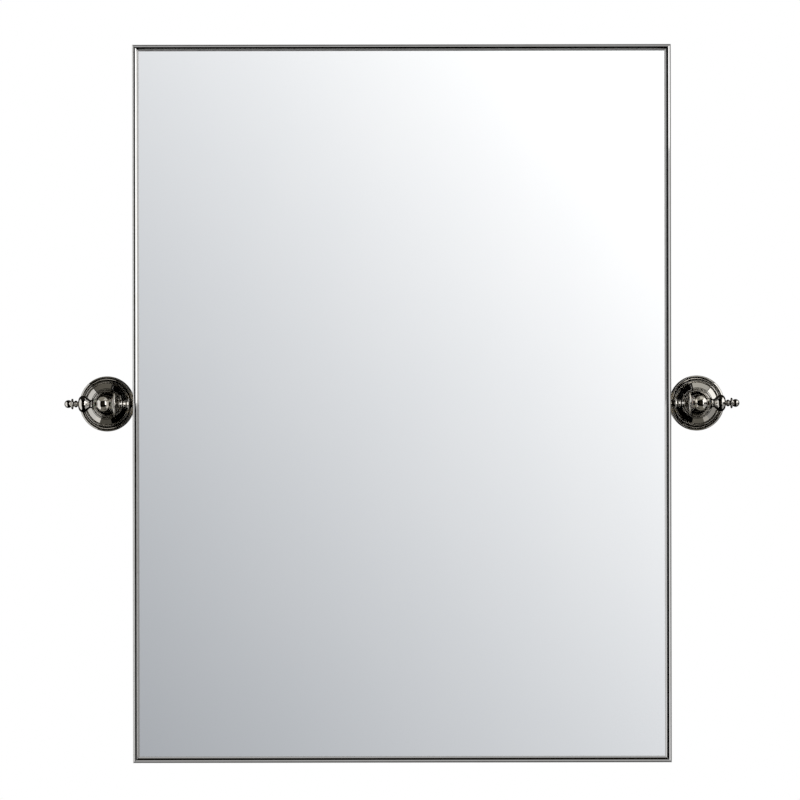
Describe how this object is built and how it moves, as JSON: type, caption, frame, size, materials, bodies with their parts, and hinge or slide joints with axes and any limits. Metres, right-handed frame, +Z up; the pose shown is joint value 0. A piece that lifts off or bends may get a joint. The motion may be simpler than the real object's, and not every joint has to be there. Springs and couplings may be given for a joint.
{
  "type": "pivot wall mirror",
  "caption": "Rectangular mirror in a thin polished frame, tilting between turned wall posts with ball hubs, round stepped rosettes and finial tension nuts.",
  "frame": {"origin": "on the wall plane, midway between the two wall brackets, at the height of the pivot line", "axes": "+X to the viewer's right along the pivot line, +Z up, +Y into the wall; the object lies on the -Y side"},
  "size_m": [0.7652, 0.0736, 0.8128],
  "materials": {
    "polished_nickel": "nickel plate on brass, mirror polished",
    "mirror_glass": "silvered float glass",
    "backing_board": "hardboard, painted dark",
    "foam": "closed-cell foam",
    "zinc_steel": "zinc plated",
    "spring_steel": "tempered strip",
    "black_steel": "black oxide",
    "brass": "machined",
    "bronze": "sintered bearing bronze",
    "nylon": "moulded",
    "clear_bumper": "clear soft dots"
  },
  "bodies": {
    "wall_mounts": {"left_wall_bracket": "zinc_steel", "right_wall_bracket": "zinc_steel", "left_rosette": "polished_nickel", "right_rosette": "polished_nickel", "left_post": "polished_nickel", "right_post": "polished_nickel", "post_screws": "zinc_steel", "rosette_set_screws": "black_steel", "left_ball_hub": "polished_nickel", "right_ball_hub": "polished_nickel", "left_hub_bush": "bronze", "right_hub_bush": "bronze"},
    "mirror": {"top_rail": "polished_nickel", "bottom_rail": "polished_nickel", "left_stile": "polished_nickel", "right_stile": "polished_nickel", "top_left_corner_key": "zinc_steel", "top_right_corner_key": "zinc_steel", "bottom_left_corner_key": "zinc_steel", "bottom_right_corner_key": "zinc_steel", "corner_key_screws": "zinc_steel", "mirror_pane": "mirror_glass", "foam_strips": "foam", "backing_board": "backing_board", "spring_clips": "spring_steel", "left_pivot_block": "brass", "right_pivot_block": "brass", "pivot_block_screws": "zinc_steel", "left_pivot_rod": "brass", "right_pivot_rod": "brass", "left_beaded_collar": "polished_nickel", "right_beaded_collar": "polished_nickel", "left_shoulder_disc": "polished_nickel", "right_shoulder_disc": "polished_nickel", "left_inner_washer": "nylon", "right_inner_washer": "nylon", "wall_bumpers": "clear_bumper"},
    "left_clamp_washer": {"left_outer_washer": "nylon"},
    "left_finial_nut": {"left_finial": "polished_nickel"},
    "right_clamp_washer": {"right_outer_washer": "nylon"},
    "right_finial_nut": {"right_finial": "polished_nickel"}
  },
  "joints": [
    {"name": "mirror_tilt", "type": "hinge", "parent": "wall_mounts", "child": "mirror", "pos_m": [0, -0.06, 0], "axis": [1, 0, 0], "range_deg": [-7, 7]},
    {"name": "left_finial_travel", "type": "slide", "parent": "mirror", "child": "left_clamp_washer", "axis": [-1, 0, 0], "range_m": [0, 0.001]},
    {"name": "left_finial_turn", "type": "hinge", "parent": "left_clamp_washer", "child": "left_finial_nut", "pos_m": [-0.355, -0.06, 0], "axis": [-1, 0, 0], "range_deg": [0, 360]},
    {"name": "right_finial_travel", "type": "slide", "parent": "mirror", "child": "right_clamp_washer", "axis": [1, 0, 0], "range_m": [0, 0.001]},
    {"name": "right_finial_turn", "type": "hinge", "parent": "right_clamp_washer", "child": "right_finial_nut", "pos_m": [0.355, -0.06, 0], "axis": [1, 0, 0], "range_deg": [0, 360]}
  ],
  "couplings": [
    {"joint": "left_finial_turn", "follows": "left_finial_travel", "rad_per_m": 6283.2},
    {"joint": "right_finial_turn", "follows": "right_finial_travel", "rad_per_m": 6283.2}
  ]
}
